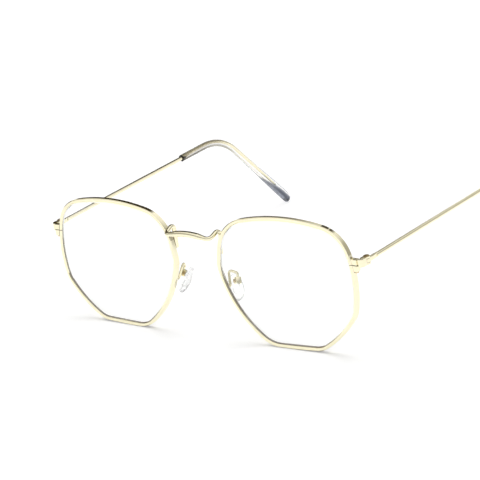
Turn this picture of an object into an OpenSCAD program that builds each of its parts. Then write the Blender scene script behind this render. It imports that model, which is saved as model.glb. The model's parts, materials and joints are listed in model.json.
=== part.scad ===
/* [Rims] */
// Distance from the middle of the bridge to the middle of each rim
rim_x = 36.7; // [35:0.1:39]
// Width of the rim wire, seen from the front
rim_w = 1.3; // [1.1:0.05:1.6]
// Depth of the rim wire, from front to back
rim_d = 1.9; // [1.7:0.05:2.4]
// Width of the bevel along each edge of the rim wire
rim_edge = 0.25; // [0.15:0.01:0.32]
// Depth of the groove in the rim that holds the lens
groove_depth = 0.55; // [0.4:0.01:0.7]
// Width of that groove at its mouth
groove_w = 0.9; // [0.7:0.01:1]
// How far the temple side of each rim is turned back, in degrees
wrap = 2.4; // [0:0.1:4]
// How far the top of the front leans forward as the glasses stand, in degrees
lean = 2.2; // [0:0.1:4]
// Width of the saw cut where the closing block opens the rim
rim_cut = 0.2; // [0.1:0.05:0.4]

/* [Lenses] */
// Thickness of a lens at its edge
lens_t = 1.8; // [1.4:0.1:2.4]
// How far the middle of a lens stands forward of its edge
lens_dome = 0.7; // [0.2:0.1:1]
// Clearance between the lens bevel and the bottom of the groove
lens_gap = 0.08; // [0.05:0.01:0.15]

/* [Bridge] */
// Diameter of the legs of the bridge wire
bridge_d = 1.5; // [1.3:0.05:1.7]
// Diameter of the bar between them, at its middle
bar_d = 2.1; // [1.8:0.05:2.3]
// How far the bridge bar stands forward of the middle of the front
bridge_out = 4.9; // [4.5:0.1:6]
// Height of the ends of the bar above the middle of the rims
bar_z = 14.4; // [14:0.1:15.2]
// Extra height of the bar at its middle
bar_rise = 1.4; // [0.8:0.1:2]
// Height of the top of the two bridge legs
leg_top_z = 16.6; // [16.2:0.1:17.4]
// Height of the foot of the two bridge legs
leg_foot_z = 8; // [7:0.1:9.4]
// Outward lean of a bridge leg from its foot to its top
leg_spread = 0; // [-0.4:0.1:0.6]
// Radius of the bends of the legs
bridge_bend = 1.6; // [1.2:0.1:1.8]

/* [Nose pads] */
// Length of a nose pad
pad_l = 9.8; // [8.6:0.1:12]
// Width of a nose pad at its widest
pad_w = 6.4; // [5.6:0.1:7.4]
// Thickness of a nose pad at its middle
pad_t = 2.4; // [2:0.1:3]
// Distance of the middle of a pad below its screw
pad_drop = 1.8; // [1:0.1:2.4]
// Distance of the pad screw from the middle plane
pad_x = 11.5; // [11:0.1:12.4]
// Distance of the pad screw behind the middle of the front
pad_y = 4.7; // [4.4:0.1:6]
// Height of the pad screw above the middle of the rims
pad_z = -3; // [-4:0.1:-2.6]
// Forward tilt of the lower end of a pad, in degrees
pad_tilt = 16; // [12:1:26]
// Outward lean of a pad from top to bottom, in degrees
pad_lean = 30; // [22:1:34]
// Outward turn of a pad from front to back, in degrees
pad_splay = 28; // [20:1:34]
// Diameter of the pad arm wire
arm_d = 0.9; // [0.7:0.05:1.1]
// Radius of the bends of the pad arm
arm_bend = 0.9; // [0.6:0.1:1]
// Height of the arm's foot on the back of the rim
arm_foot_z = -3.6; // [-4.6:0.1:-2.6]
// Height of the arm's loop
arm_top_z = 1.3; // [0.6:0.1:2]
// Diameter of the pad screw
pad_screw_d = 0.7; // [0.5:0.05:0.8]
// Diameter of its head
pad_head_d = 1.25; // [1:0.05:1.5]
// Height of its head
pad_head_h = 0.3; // [0.2:0.05:0.4]

/* [End pieces and hinges] */
// Distance of a hinge pin from the middle plane
hinge_x = 64.6; // [64.2:0.1:66]
// Distance of a hinge pin behind the middle of the front
hinge_y = 4.5; // [3.8:0.1:5.2]
// Height of the middle of a hinge above the middle of the rims
hinge_z = 9.9; // [9.4:0.1:10.4]
// Outer diameter of the hinge knuckles
knuckle_d = 2.4; // [2.2:0.05:2.6]
// Height of each of the two front knuckles
knuckle_h = 0.65; // [0.55:0.05:1]
// Height of the temple knuckle between them
mid_knuckle_h = 1.3; // [1.2:0.05:1.6]
// Diameter of the hinge screw
pin_d = 1.1; // [0.9:0.05:1.2]
// Running clearance round the hinge screw and the pad screw
pin_gap = 0.05; // [0.03:0.01:0.08]
// Clearance between neighbouring knuckles
knuckle_gap = 0.05; // [0.04:0.01:0.1]
// Clearance between soldered or screwed pieces
seat_gap = 0.02; // [0.01:0.01:0.04]
// Height of the end piece
lug_h = 2.6; // [2.2:0.1:3]
// Thickness of the end piece
lug_t = 1; // [0.8:0.05:1.2]
// Width of the closing blocks, outward from the rim
block_w = 2; // [1.8:0.1:2.2]
// Height of each closing block
block_h = 2.1; // [1.8:0.1:2.4]
// Diameter of the screw that clamps the closing blocks
rim_screw_d = 0.8; // [0.6:0.05:0.9]
// Diameter of its head
rim_head_d = 1.3; // [1.1:0.05:1.5]
// Height of its head
rim_head_h = 0.4; // [0.3:0.05:0.5]
// Diameter of the head of the hinge screw
hinge_head_d = 1.8; // [1.5:0.05:2.2]
// Height of the head of the hinge screw
hinge_head_h = 0.2; // [0.2:0.05:0.5]

/* [Temples] */
// Diameter of the temple wire
temple_d = 1.5; // [1.3:0.05:1.5]
// Length of the hinge leaf behind the pin
leaf_l = 4.6; // [4:0.1:7]
// Thickness of the hinge leaf from side to side
leaf_t = 1.1; // [0.9:0.05:1.3]
// Length from the hinge pin to the corner of the ear bend
temple_run = 98.1; // [90:0.1:106]
// Length from the corner of the ear bend to the end of the tip
hook_l = 55; // [44:0.5:60]
// Angle of the ear bend, in degrees
ear_angle = 45; // [38:1:50]
// Radius of the ear bend
ear_r = 27; // [20:1:34]
// Outward flare of each temple, in degrees
flare = 1.2; // [0:0.1:2]
// Distance from the hinge pin to the front end of the clear tip
sleeve_start = 72.5; // [66:0.1:80]
// Height of the tip at its front end
sleeve_h = 2.6; // [2.2:0.1:3]
// Height of the tip at its widest, near its end
paddle_h = 4; // [3.2:0.1:5]
// Thickness of the tip from side to side
sleeve_t = 2.4; // [2.2:0.1:2.8]
// How far the wire stops short of the end of the tip
core_short = 10; // [6:0.5:16]
// Clearance round the wire inside the tip
core_gap = 0.05; // [0.03:0.01:0.08]

/* [Hidden] */
$fn = 48;
// Facets of the wide revolved arcs and of the small bends
arc_fn = 180;
bend_fn = 96;
// Overlap of pieces of one solid that meet end to end
lap = 0.001;
// Length by which a cutting shape passes the solid that it cuts
over_cut = 1;
// A bend in a wire is drawn this much thinner than the stretches beside it, and reaches this
// far into them, so that each joint is a clean outline
joint_step = 0.003;
joint_lap = 0.03;

gold = [0.88, 0.79, 0.55];
dark_gold = [0.72, 0.62, 0.4];
clear = [0.9, 0.93, 0.95, 0.5];

// The six rounded corners of a rim's middle line, from the temple side round over the top:
// distance from the middle of the rim towards the temple, height and radius
rim_corners = [[16.1, -4.9, 8.2], [12, 9, 12.1], [-13.9, 8.2, 12.8],
    [-19.5, 4.2, 8], [-6.7, -11.3, 10.7], [7.1, -13.7, 8]];
// Radius of the gently bowed side after each corner
rim_side_r = [39, 74, 100, 39, 213, 39];
// Sides that carry other pieces: by the temple, by the bridge and by the nose pad
temple_side = 0;
bridge_side = 2;
pad_side = 3;

function heading(a, b) = atan2(b[1] - a[1], b[0] - a[0]);
function turn(a, b) = (b - a + 720) % 360;
function corner(i) = rim_corners[(i + len(rim_corners)) % len(rim_corners)];
function corner_mid(i) = [corner(i)[0], corner(i)[1]];
// A side's arc touches the arcs of both its corners from the outside
function side_mid(i) =
    let (side_r = rim_side_r[(i + len(rim_corners)) % len(rim_corners)],
         d = corner_mid(i + 1) - corner_mid(i),
         near = side_r - corner(i)[2],
         far = side_r - corner(i + 1)[2],
         along = (near * near - far * far + d * d) / (2 * norm(d)),
         across = sqrt(near * near - along * along))
    corner_mid(i) + (d * along + [-d[1], d[0]] * across) / norm(d);
// The outline as arcs, each with its centre, radius, start angle and turn
function corner_arc(i) =
    let (start = heading(side_mid(i - 1), corner_mid(i)))
    [corner_mid(i), corner(i)[2], start, turn(start, heading(side_mid(i), corner_mid(i)))];
function side_arc(i) =
    let (start = heading(side_mid(i), corner_mid(i)))
    [side_mid(i), rim_side_r[i], start, turn(start, heading(side_mid(i), corner_mid(i + 1)))];
arcs = [for (i = [0:len(rim_corners) - 1]) each [corner_arc(i), side_arc(i)]];
// Points along the outline, moved outward by a distance
point_step = 5;
function outline(out) = [for (a = arcs)
    let (steps = ceil(a[3] / point_step))
    for (k = [0:steps - 1])
        let (angle = a[2] + a[3] * k / steps)
        a[0] + (a[1] + out) * [cos(angle), sin(angle)]];
// Where an upright side lies at a height, way 1 by the temple and -1 by the nose
function side_x(i, z, out, way) =
    side_mid(i)[0] + way * sqrt(pow(rim_side_r[i] + out, 2) - pow(z - side_mid(i)[1], 2));
// A point given across and through the rim, seen from above in the frame of the front
function on_rim(x, y) = [rim_x + x * cos(wrap) - y * sin(wrap), x * sin(wrap) + y * cos(wrap)];

// Bridge wire: the foot of each leg is soldered to the back of the nose side of its rim
bar_bend = 30;
bar_start = 2;
leg_foot = on_rim(
    side_x(bridge_side, leg_foot_z, 0, -1), rim_d / 2 + seat_gap + bridge_d / 2);
leg_top_x = leg_foot[0] + leg_spread;
bar_peak = bar_z + bar_rise - bar_bend * (1 / cos(atan(bar_rise / leg_top_x) / 2) - 1);

// Closing blocks, in the frame of the hinge: the rim's outer edge and the line of the saw cut
rim_edge_x = side_x(temple_side, hinge_z, rim_w / 2, 1);
block_x = on_rim(rim_edge_x, 0)[0] - hinge_x;
block_y = on_rim(rim_edge_x, 0)[1] - hinge_y;
split_z = -mid_knuckle_h / 2;
block_top = lug_h / 2;
block_foot = split_z - rim_cut / 2 - block_h;
// The head of their screw clears the rim, which leans outward below them
rim_head_gap = 0.1;
rim_head_z = hinge_z + block_foot - rim_head_h;
rim_screw_x = on_rim(side_x(temple_side, rim_head_z, rim_w / 2, 1), 0)[0] - hinge_x
    + rim_head_gap + rim_head_d / 2;
rim_screw_short = 0.2;

// End piece: its leg ends in front of the knuckles, and the heel of the temple's knuckle stops
// against that end when the temple is open
lug_x = block_x + block_w + seat_gap;
lug_bend = 0.6;
lug_notch = 0.3;
leg_in = 0.3;
leg_out = knuckle_d / 2 - leg_in;
leg_x = leg_out - lug_t;
leg_y = block_y + lug_t / 2 + lug_bend;
swing_gap = 0.08;
leg_end = -knuckle_d / 2 - swing_gap;
heel_x = 0.3;
stop_l = 0.8;
stop_blend = 3;

// Hinge: the front knuckles stand on a plate along the inner side of the end piece's leg
knuckle_top = mid_knuckle_h / 2 + knuckle_gap + knuckle_h;
plate_t = 0.8;
plate_end = -0.5;

// Temple: the middle line of the wire lies outside the pin, and the bend starts and ends here
temple_x = 0.3;
core_step = 0.3;
core_d = temple_d - core_step;
bend_reach = ear_r * tan(ear_angle / 2);
bend_from = temple_run - bend_reach;
bend_to = bend_from + ear_r * ear_angle * PI / 180;
tip_end = bend_to + hook_l - bend_reach;
core_end = tip_end - core_short;
// Slope and place of the middle line at a distance s from the hinge pin
function slope(s) = min(ear_angle, max(0, (s - bend_from) / ear_r * 180 / PI));
function line_at(s) =
    let (a = slope(s), past = max(0, s - bend_to))
    [temple_x,
     min(s, bend_from) + ear_r * sin(a) + past * cos(a),
     -ear_r * (1 - cos(a)) - past * sin(a)];

// Clear tip: rings along the middle line, inside the bore first and then outside, with a
// rounded end
tip_sides = 16;
bend_rings = 10;
paddle_rings = 9;
cap_angles = [22.5, 45, 65, 80];
cap_l = paddle_h / 2;
paddle_end = tip_end - cap_l;
bore_end = core_end + core_gap;
bore_r = (core_d / 2 + core_gap) / cos(180 / tip_sides);
function smooth(f) = f * f * (3 - 2 * f);
function swell(s) = smooth(max(0, min(1, (s - bend_to) / (paddle_end - bend_to))));
function tip_half_h(s) = (sleeve_h + (paddle_h - sleeve_h) * swell(s)) / 2;
function tip_ring(s, half_h, half_t) =
    let (middle = line_at(s), up = [0, sin(slope(s)), cos(slope(s))])
    [for (k = [0:tip_sides - 1])
        let (a = 360 * k / tip_sides)
        middle + [half_t * cos(a), 0, 0] + up * half_h * sin(a)];
function stations(from, to, n) = [for (k = [0:n]) from + (to - from) * k / n];
bend_stations = concat(stations(sleeve_start, bend_from, 2),
    [for (k = [1:bend_rings - 1]) bend_from + (bend_to - bend_from) * k / bend_rings]);
bore_stations = concat(bend_stations, stations(bend_to, bore_end, 2));
body_stations = concat(bend_stations, stations(bend_to, paddle_end, paddle_rings));
tip_rings = concat(
    [for (k = [len(bore_stations) - 1:-1:0]) tip_ring(bore_stations[k], bore_r, bore_r)],
    [for (s = body_stations) tip_ring(s, tip_half_h(s), sleeve_t / 2)],
    [for (a = cap_angles)
        tip_ring(paddle_end + cap_l * sin(a), paddle_h / 2 * cos(a), sleeve_t / 2 * cos(a))]);

// Height at which the rims stand on the floor
rim_low = min([for (p = outline(rim_w / 2)) p[1]]);
front_z = -rim_low * cos(lean) + (rim_d / 2 - rim_edge) * sin(lean);
// Tilt of the temples at which their tips stand on the floor beside the rims
hinge_up = front_z + hinge_y * sin(lean) + hinge_z * cos(lean);
hinge_back = hinge_y * cos(lean) - hinge_z * sin(lean);
tip_points = [for (ring = tip_rings) each ring];
function tip_low(tilt) = min([for (p = tip_points) p[1] * sin(tilt) + p[2] * cos(tilt)]);
function settle(tilt, rounds) = rounds == 0 ? tilt
    : settle(tilt - (hinge_up + tip_low(tilt)) / line_at(tip_end)[1] * 180 / PI, rounds - 1);
rise = settle(lean, 4);
// The middle of the glasses from front to back, which lies over the origin
front_reach = -bridge_out * cos(lean) - bar_peak * sin(lean) - bar_d / 2;
back_reach = hinge_back + max([for (p = tip_points)
    (p[1] * cos(flare) - p[0] * sin(flare)) * cos(rise) - p[2] * sin(rise)]);
middle_y = (front_reach + back_reach) / 2;

// Nose pad: the ear of its metal core turns in the box, and the pad stands in front of it
ear_w = 1;
ear_h = 1.5;
box_wall = 0.4;
box_h = 2.2;
box_side = 0.08;
box_base_x = 0.9;
box_lip_x = -0.55;
pad_back_x = -0.9;
core_t = 0.45;
core_r = 1.3;
core_reach = 1;
pad_sides = 28;
pad_taper = 0.16;
pad_rim_in = 0.16;
pad_rim_share = 0.3;
pad_dome = 0.7;
box_half_w = ear_w / 2 + box_side + box_wall;
arm_foot = on_rim(side_x(pad_side, arm_foot_z, 0, -1), rim_d / 2 + seat_gap);
arm_back = 1.3;
arm_top = [9.9, 2.9];
arm_x = box_base_x + box_wall - arm_d / 2;
arm_drop = 2.6;
// A point of the pad's frame in the frame of the front
function turned_x(v, a) = [v[0], v[1] * cos(a) - v[2] * sin(a), v[1] * sin(a) + v[2] * cos(a)];
function turned_y(v, a) = [v[0] * cos(a) + v[2] * sin(a), v[1], -v[0] * sin(a) + v[2] * cos(a)];
function turned_z(v, a) = [v[0] * cos(a) - v[1] * sin(a), v[0] * sin(a) + v[1] * cos(a), v[2]];
function from_pad(v) = [pad_x, pad_y, pad_z]
    + turned_z(turned_x(turned_y(v, -pad_lean), -pad_tilt), -pad_splay);

// Frames of reference
module left() {
    children();
}
module right() {
    mirror([1, 0, 0]) children();
}
module front_frame() {
    translate([0, -middle_y, front_z]) rotate([lean, 0, 0]) children();
}
module rim_frame() {
    front_frame() translate([rim_x, 0, 0]) rotate([0, 0, wrap]) children();
}
module hinge_frame() {
    front_frame() translate([hinge_x, hinge_y, hinge_z]) rotate([rise - lean, 0, 0])
        rotate([0, 0, -flare]) children();
}
module pad_frame() {
    front_frame() translate([pad_x, pad_y, pad_z]) rotate([0, 0, -pad_splay])
        rotate([-pad_tilt, 0, 0]) rotate([0, -pad_lean, 0]) children();
}

// Solid through a row of closed rings, each running counter-clockwise as seen from the
// start of the row, with a single point closing each end
module loft(first, rings, last) {
    n = len(rings[0]);
    top = len(rings) * n;
    polyhedron(
        points = concat([for (ring = rings) each ring], [first, last]),
        faces = concat(
            [for (k = [0:n - 1]) [top, (k + 1) % n, k]],
            [for (j = [0:len(rings) - 2]) for (k = [0:n - 1])
                let (a = j * n + k, b = j * n + (k + 1) % n)
                each [[a, b, b + n], [a, b + n, a + n]]],
            [for (k = [0:n - 1])
                [top + 1, top - n + k, top - n + (k + 1) % n]]));
}

// Round wire along straight stretches and true bends
function unit(v) = v / norm(v);
function bend_angle(p, i) = acos(unit(p[i] - p[i - 1]) * unit(p[i + 1] - p[i]));
function setback(p, bends, i) =
    (i == 0 || i == len(p) - 1) ? 0 : bends[i - 1] * tan(bend_angle(p, i) / 2);
module placed(o, x, y, z) {
    multmatrix([[x[0], y[0], z[0], o[0]], [x[1], y[1], z[1], o[1]],
        [x[2], y[2], z[2], o[2]], [0, 0, 0, 1]]) children();
}
module rod(p, q, d, end_d) {
    z = unit(q - p);
    x = unit(cross(abs(z[2]) < 0.9 ? [0, 0, 1] : [1, 0, 0], z));
    placed(p, x, cross(z, x), z)
        cylinder(d1 = d, d2 = is_undef(end_d) ? d : end_d, h = norm(q - p));
}
module wire_bend(p, d0, d1, r, d) {
    turned = acos(d0 * d1);
    side = unit(d1 - d0 * (d0 * d1));
    over = joint_lap / r * 180 / PI;
    placed(p - d0 * r * tan(turned / 2) + side * r, -side, d0, cross(-side, d0))
        rotate([0, 0, -over]) rotate_extrude(angle = turned + 2 * over, $fn = bend_fn)
            translate([r, 0]) circle(d = d - 2 * joint_step);
}
module bent_wire(p, bends, d) {
    for (i = [0:len(p) - 2]) {
        dir = unit(p[i + 1] - p[i]);
        rod(p[i] + dir * setback(p, bends, i), p[i + 1] - dir * setback(p, bends, i + 1), d);
    }
    for (i = [1:len(p) - 2])
        wire_bend(p[i], unit(p[i] - p[i - 1]), unit(p[i + 1] - p[i]), bends[i - 1], d);
}

// Head of a screw with a screwdriver slot across its top
module screw_head(d, h) {
    slot_w = d / 6;
    difference() {
        cylinder(d = d, h = h);
        translate([-d, -slot_w / 2, h / 2]) cube([2 * d, slot_w, h]);
    }
}
// Hole right through a solid that reaches from one height to another
module through_hole(d, from_z, to_z) {
    translate([0, 0, from_z - over_cut]) cylinder(d = d, h = to_z - from_z + 2 * over_cut);
}

// Rim: a grooved wire bent along the outline and sawn through at the closing blocks
module rim_section(thinner = 0) {
    w = rim_w / 2 - thinner;
    d = rim_d / 2 - thinner;
    g = groove_w / 2 + thinner;
    polygon([[w - rim_edge, -d], [w, -d + rim_edge], [w, d - rim_edge], [w - rim_edge, d],
        [-w + rim_edge, d], [-w, d - rim_edge], [-w, g], [groove_depth - w, 0],
        [-w, -g], [-w, -d + rim_edge], [-w + rim_edge, -d]]);
}
module rim_arc(a, reach = 0) {
    over = reach / a[1] * 180 / PI;
    translate([a[0][0], 0, a[0][1]]) rotate([90, 0, 0]) rotate([0, 0, a[2] - over])
        rotate_extrude(angle = a[3] + 2 * over, $fn = arc_fn) translate([a[1], 0]) children();
}
module rim() {
    color(gold) difference() {
        rim_frame() for (i = [0:len(rim_corners) - 1]) {
            rim_arc(side_arc(i)) rim_section();
            rim_arc(corner_arc(i), joint_lap) rim_section(joint_step);
        }
        hinge_frame() translate([block_x - 2 * rim_w, block_y - rim_d, split_z - rim_cut / 2])
            cube([3 * rim_w, 2 * rim_d, rim_cut]);
    }
}

// Lens: a shallow dome of even thickness with a bevel that sits in the groove
module lens() {
    face_steps = [0.4, 0.75, 1];
    bevel_out = groove_depth - rim_w / 2 - lens_gap;
    face_out = bevel_out - lens_t * groove_depth / groove_w;
    function face(f, y) = [for (p = outline(face_out))
        [p[0] * f, y - lens_dome * (1 - f * f), p[1] * f]];
    color(clear) rim_frame() loft(
        [0, -lens_t / 2 - lens_dome, 0],
        concat([for (f = face_steps) face(f, -lens_t / 2)],
            [[for (p = outline(bevel_out)) [p[0], 0, p[1]]]],
            [for (k = [len(face_steps) - 1:-1:0]) face(face_steps[k], lens_t / 2)]),
        [0, lens_t / 2 - lens_dome, 0]);
}

// Bridge: one wire that rises behind each rim, turns forward at its top and crosses in front
// in a bar that swells towards its middle
module bridge() {
    corner = [leg_top_x - bridge_d / 4, -bridge_out, bar_z];
    middle = [0, -bridge_out, bar_z + bar_rise];
    along = unit(middle - corner);
    set_back = bar_bend * abs(along[2] / along[0]);
    swell_from = corner + along * bar_start;
    color(gold) front_frame() {
        for (side = [0, 1]) mirror([side, 0, 0]) {
            bent_wire([[leg_foot[0], leg_foot[1], leg_foot_z],
                [leg_top_x, leg_foot[1], leg_top_z], corner, swell_from],
                [bridge_bend, bridge_bend], bridge_d);
            rod(swell_from - along * joint_lap, middle - along * set_back,
                bridge_d - 4 * joint_step, bar_d);
        }
        wire_bend(middle, along, [along[0], along[1], -along[2]], bar_bend,
            bar_d - 2 * joint_step);
    }
}

// Closing blocks: two halves on the sawn ends of the rim, clamped by one screw
module block(from_z, to_z) {
    color(gold) difference() {
        hinge_frame() difference() {
            translate([block_x - rim_w / 2, block_y - rim_d / 2, from_z])
                cube([block_w + rim_w / 2, rim_d, to_z - from_z]);
            translate([rim_screw_x, block_y, 0])
                through_hole(rim_screw_d + 2 * seat_gap, from_z, to_z);
        }
        rim_seat();
    }
}
module rim_seat() {
    w = rim_w / 2 + seat_gap;
    rim_frame() rim_arc(side_arc(temple_side))
        translate([-2 * rim_w, -rim_d]) square([2 * rim_w + w, 2 * rim_d]);
}
module upper_block() {
    block(split_z + rim_cut / 2, block_top);
}
module lower_block() {
    block(block_foot, split_z - rim_cut / 2);
}
module rim_screw() {
    foot = block_foot - seat_gap;
    color(dark_gold) hinge_frame() translate([rim_screw_x, block_y, foot]) {
        translate([0, 0, -lap])
            cylinder(d = rim_screw_d, h = block_top - foot - rim_screw_short + lap);
        mirror([0, 0, 1]) screw_head(rim_head_d, rim_head_h);
    }
}

// End piece: a flat lug that leaves the upper block and turns back beside the hinge
module end_piece() {
    bend_x = leg_x - lug_bend;
    color(gold) hinge_frame() difference() {
        translate([0, 0, -lug_h / 2]) {
            translate([lug_x, block_y - lug_t / 2, 0]) cube([bend_x - lug_x + lap, lug_t, lug_h]);
            translate([bend_x, leg_y, 0]) rotate([0, 0, -90])
                rotate_extrude(angle = 90, $fn = bend_fn) translate([lug_bend, 0])
                    square([lug_t, lug_h]);
            translate([leg_x, leg_y - lap, 0]) cube([lug_t, lap + leg_end - leg_y, lug_h]);
        }
        translate([0, block_y + lug_t, 0]) rotate([90, 0, 0]) linear_extrude(2 * lug_t)
            polygon([[lug_x - over_cut, -lug_h], [lug_x - over_cut, split_z + rim_cut / 2],
                [lug_x + lug_notch, split_z + rim_cut / 2], [leg_x, -lug_h / 2],
                [leg_x, -lug_h]]);
    }
}

// Hinge: two knuckles on the front, one on the temple, and a screw through all three
module front_hinge() {
    color(gold) hinge_frame() difference() {
        union() {
            for (z = [-knuckle_top, knuckle_top - knuckle_h])
                translate([0, 0, z]) cylinder(d = knuckle_d, h = knuckle_h);
            translate([leg_x - seat_gap - plate_t, leg_y, -knuckle_top])
                cube([plate_t, plate_end - leg_y, 2 * knuckle_top]);
        }
        translate([0, 0, -mid_knuckle_h / 2 - knuckle_gap])
            cylinder(d = knuckle_d + 2 * swing_gap, h = mid_knuckle_h + 2 * knuckle_gap);
        through_hole(pin_d + 2 * seat_gap, -knuckle_top, knuckle_top);
    }
}
module temple_hinge() {
    leaf_in = temple_x - leaf_t / 2;
    leaf_out = temple_x + leaf_t / 2;
    color(gold) hinge_frame() translate([0, 0, -mid_knuckle_h / 2]) difference() {
        union() {
            cylinder(d = knuckle_d, h = mid_knuckle_h);
            linear_extrude(mid_knuckle_h)
                polygon([[leaf_in, 0], [heel_x, -knuckle_d / 2], [leg_out, -knuckle_d / 2],
                    [leg_out, stop_l], [leaf_out, stop_blend], [leaf_out, leaf_l],
                    [leaf_in, leaf_l]]);
        }
        through_hole(pin_d + 2 * pin_gap, 0, mid_knuckle_h);
    }
}
module hinge_screw() {
    color(dark_gold) hinge_frame() {
        translate([0, 0, -knuckle_top]) cylinder(d = pin_d, h = 2 * knuckle_top + seat_gap + lap);
        translate([0, 0, knuckle_top + seat_gap]) screw_head(hinge_head_d, hinge_head_h);
    }
}

// Temple: a round wire that steps down inside the tip and bends behind the ear
module temple() {
    color(gold) hinge_frame() {
        rod(line_at(leaf_l + seat_gap), line_at(sleeve_start), temple_d);
        bent_wire([line_at(sleeve_start), [temple_x, temple_run, 0], line_at(core_end)],
            [ear_r], core_d);
    }
}
module temple_tip() {
    color(clear) hinge_frame()
        loft(line_at(bore_end), tip_rings, line_at(tip_end));
}

// Nose pad on its arm: the pad's metal core sits in a box at the end of the arm
module pad_arm() {
    color(gold) front_frame() bent_wire(
        [[arm_foot[0], arm_foot[1], arm_foot_z], [arm_foot[0], arm_foot[1] + arm_back, arm_foot_z],
         [arm_top[0], arm_top[1], arm_top_z], from_pad([arm_x, 0, arm_drop]),
         from_pad([arm_x, 0, box_h / 2 + seat_gap])],
        [arm_bend, arm_bend, arm_bend], arm_d);
}
module pad_box() {
    color(gold) pad_frame() difference() {
        translate([box_lip_x, -box_half_w, -box_h / 2])
            cube([box_base_x + box_wall - box_lip_x, 2 * box_half_w, box_h]);
        translate([box_lip_x - over_cut, -ear_w / 2 - box_side, -box_h])
            cube([box_base_x - box_lip_x + over_cut, ear_w + 2 * box_side, 2 * box_h]);
        rotate([90, 0, 0])
            through_hole(pad_screw_d + 2 * seat_gap, -box_half_w, box_half_w);
    }
}
module pad_screw() {
    color(dark_gold) pad_frame() translate([0, -box_half_w - seat_gap, 0]) rotate([90, 0, 0]) {
        translate([0, 0, -2 * box_half_w]) cylinder(d = pad_screw_d, h = 2 * box_half_w + lap);
        screw_head(pad_head_d, pad_head_h);
    }
}
module core_plate(grow) {
    translate([pad_back_x - core_t - grow, 0, -pad_drop]) rotate([0, 90, 0])
        linear_extrude(core_t + 2 * grow) {
            for (way = [-1, 1]) translate([way * core_reach, 0]) circle(r = core_r + grow);
            square([2 * core_reach, 2 * (core_r + grow)], center = true);
        }
}
module pad_core() {
    color(clear) pad_frame() difference() {
        union() {
            core_plate(0);
            rotate([90, 0, 0]) cylinder(d = ear_h, h = ear_w, center = true);
            translate([pad_back_x - lap, -ear_w / 2, -ear_h / 2])
                cube([-pad_back_x + lap, ear_w, ear_h]);
        }
        rotate([90, 0, 0]) through_hole(pad_screw_d + 2 * pin_gap, -ear_w / 2, ear_w / 2);
    }
}
module nose_pad() {
    edge_x = pad_back_x - pad_rim_share * pad_t;
    function pad_ring(f, x) = [for (k = [0:pad_sides - 1])
        let (a = 360 * k / pad_sides)
        [x, f * pad_w / 2 * cos(a) * (1 - pad_taper * sin(a)),
         f * pad_l / 2 * sin(a) - pad_drop]];
    color(clear) pad_frame() difference() {
        loft([pad_back_x, 0, -pad_drop],
            concat([for (a = [0, 45])
                    pad_ring(1 - pad_rim_in * (1 - sin(a)),
                        edge_x + pad_rim_share * pad_t * cos(a))],
                [for (a = [0, 15, 32, 50, 68])
                    pad_ring(pow(cos(a), pad_dome), edge_x - (1 - pad_rim_share) * pad_t * sin(a))]),
            [pad_back_x - pad_t, 0, -pad_drop]);
        core_plate(seat_gap);
    }
}

left() rim();  // left_rim
left() lens();  // left_lens
left() end_piece();  // left_end_piece
left() upper_block();  // left_upper_block
left() lower_block();  // left_lower_block
left() rim_screw();  // left_rim_screw
left() front_hinge();  // left_front_hinge
left() hinge_screw();  // left_hinge_screw
left() temple_hinge();  // left_temple_hinge
left() temple();  // left_temple
left() temple_tip();  // left_temple_tip
left() pad_arm();  // left_pad_arm
left() pad_box();  // left_pad_box
left() pad_screw();  // left_pad_screw
left() pad_core();  // left_pad_core
left() nose_pad();  // left_nose_pad
right() rim();  // right_rim
right() lens();  // right_lens
right() end_piece();  // right_end_piece
right() upper_block();  // right_upper_block
right() lower_block();  // right_lower_block
right() rim_screw();  // right_rim_screw
right() front_hinge();  // right_front_hinge
right() hinge_screw();  // right_hinge_screw
right() temple_hinge();  // right_temple_hinge
right() temple();  // right_temple
right() temple_tip();  // right_temple_tip
right() pad_arm();  // right_pad_arm
right() pad_box();  // right_pad_box
right() pad_screw();  // right_pad_screw
right() pad_core();  // right_pad_core
right() nose_pad();  // right_nose_pad
bridge();
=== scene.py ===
# %% [markdown]
# # Wire-frame eyeglasses: from the CAD frame to the finished picture
#
# The CAD model gives every piece its size and place. This file adds what a solid cannot
# hold: polished gold that mirrors its surroundings, glass and clear plastic that bend the
# light, and the softer shapes of the lenses, nose pads and ear tips.
# Blender works in metres here, and the glasses stand on the floor at Z = 0.

# %% Load the frame and note its box
import json
import math

import bmesh
import bpy
from mathutils import Matrix, Vector

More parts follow.
